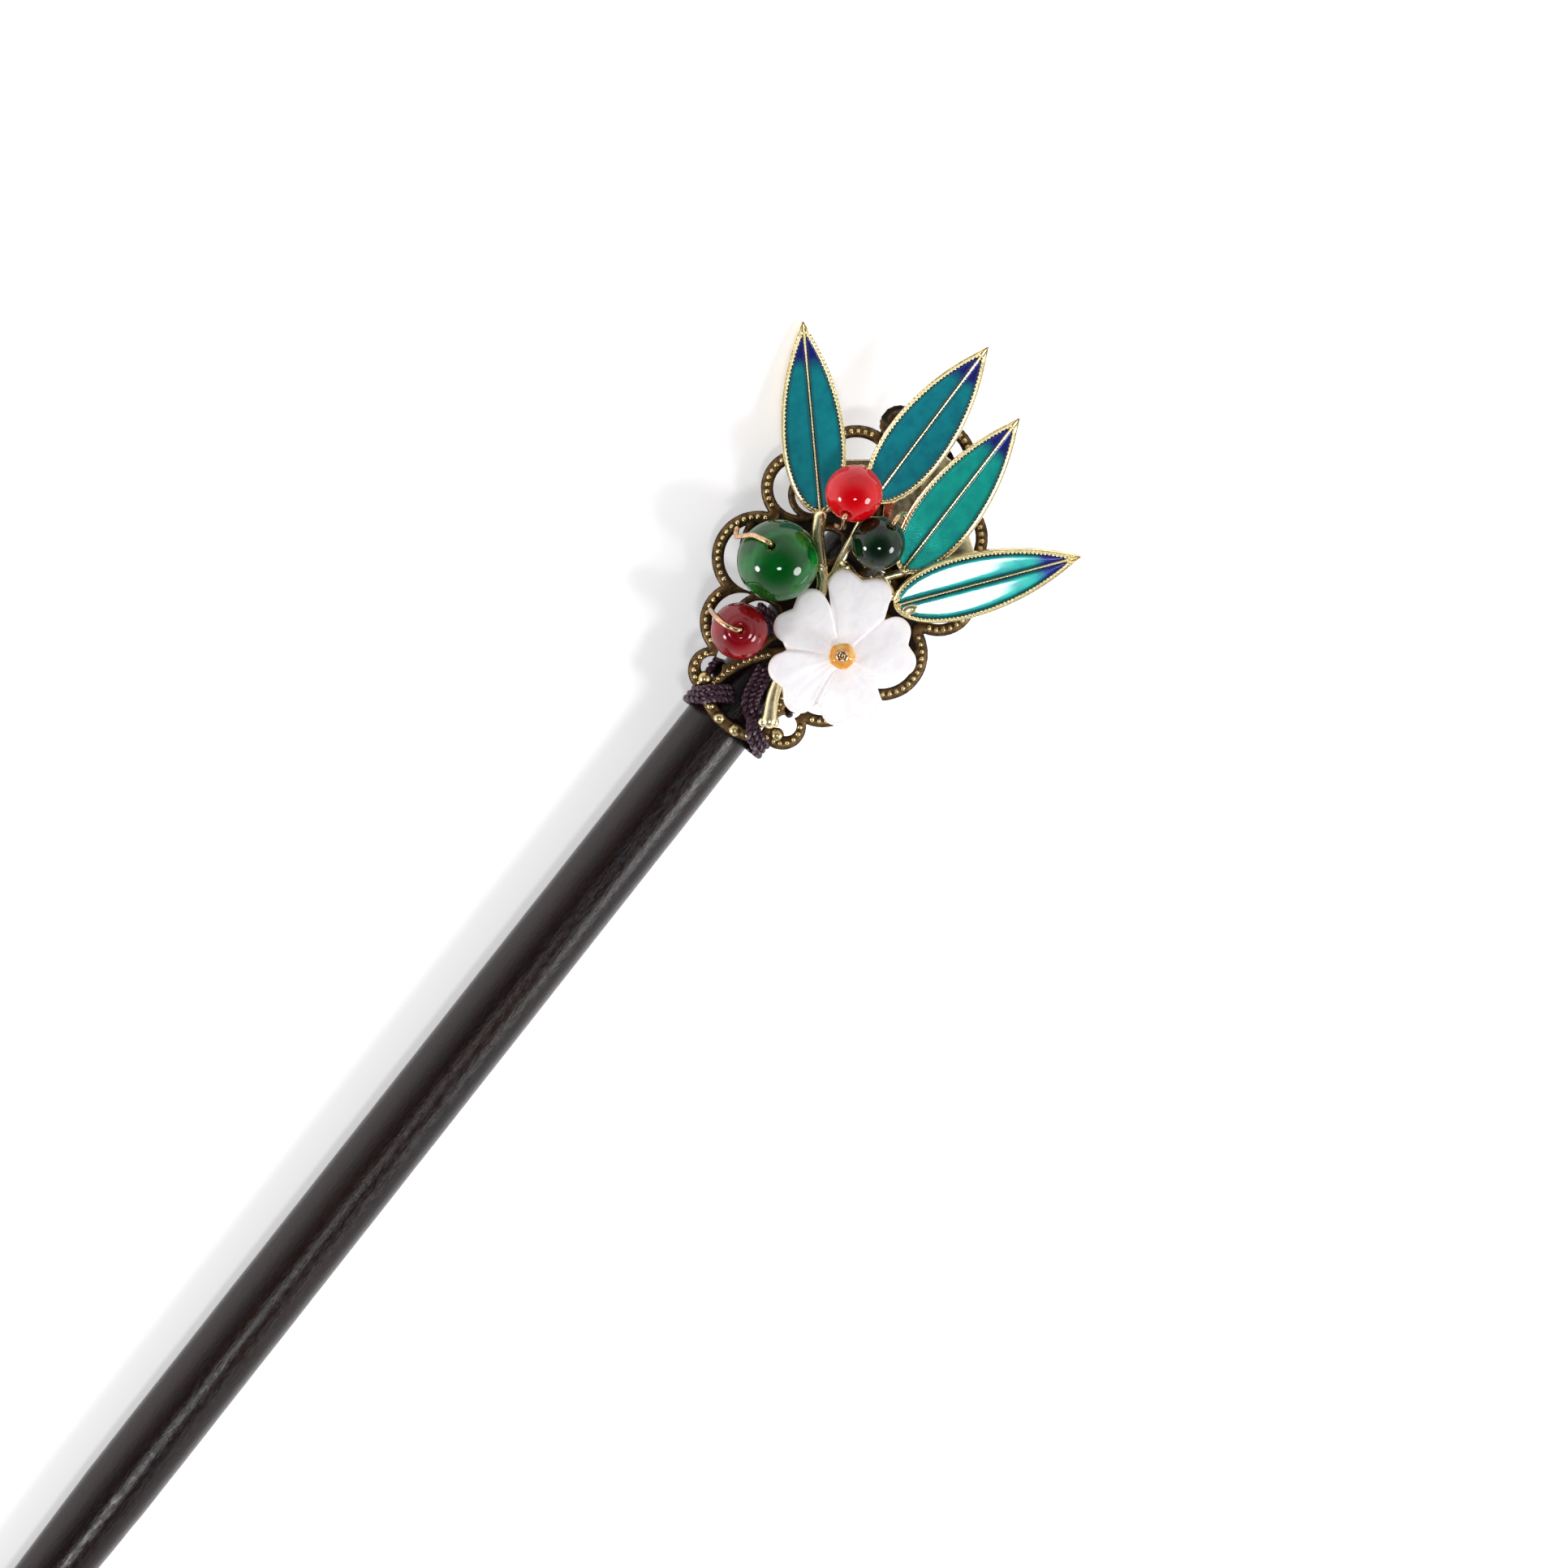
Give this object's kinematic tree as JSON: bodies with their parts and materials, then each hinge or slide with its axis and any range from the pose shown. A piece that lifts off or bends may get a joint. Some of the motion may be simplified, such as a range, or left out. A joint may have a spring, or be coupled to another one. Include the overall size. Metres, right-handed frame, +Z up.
{
  "type": "hair stick",
  "caption": "Round dark wooden hair stick with a pierced metal plate lashed to its head, carrying an enamelled leaf sprig, a carved shell flower and beads on wires.",
  "frame": {"origin": "on the ground, under the middle of the part's bounding box, as the hair stick lies by itself", "axes": "+X along the stick towards its tip, +Z up from the ground, +Y towards the side where the ornament stands higher"},
  "size_m": [0.198, 0.0312, 0.0187],
  "materials": {
    "dark_wood": "satin lacquer",
    "aged_brass": "darkened, rubbed bright on the raised beading",
    "gilt_brass": "polished",
    "enamel": "gloss",
    "shell": "polished, pearly",
    "amber_glass": "gloss",
    "green_glass": "gloss",
    "dark_glass": "gloss",
    "red_glass": "gloss",
    "copper_wire": "bright drawn wire",
    "thread": "waxed thread"
  },
  "bodies": {
    "root": {"stick": "dark_wood", "filigree": "aged_brass", "sprig": "gilt_brass", "enamel_1_left": "enamel", "enamel_1_right": "enamel", "enamel_2_left": "enamel", "enamel_2_right": "enamel", "enamel_3_left": "enamel", "enamel_3_right": "enamel", "enamel_4_left": "enamel", "enamel_4_right": "enamel", "shell_flower": "shell", "seed_bead": "amber_glass", "green_bead": "green_glass", "red_bead_low": "red_glass", "red_bead_high": "red_glass", "dark_bead": "dark_glass", "green_wire": "copper_wire", "red_wire_low": "copper_wire", "red_wire_high": "copper_wire", "dark_wire": "copper_wire", "flower_wire": "copper_wire", "lashing_front": "thread", "lashing_middle": "thread", "lashing_back": "thread"}
  },
  "joints": []
}
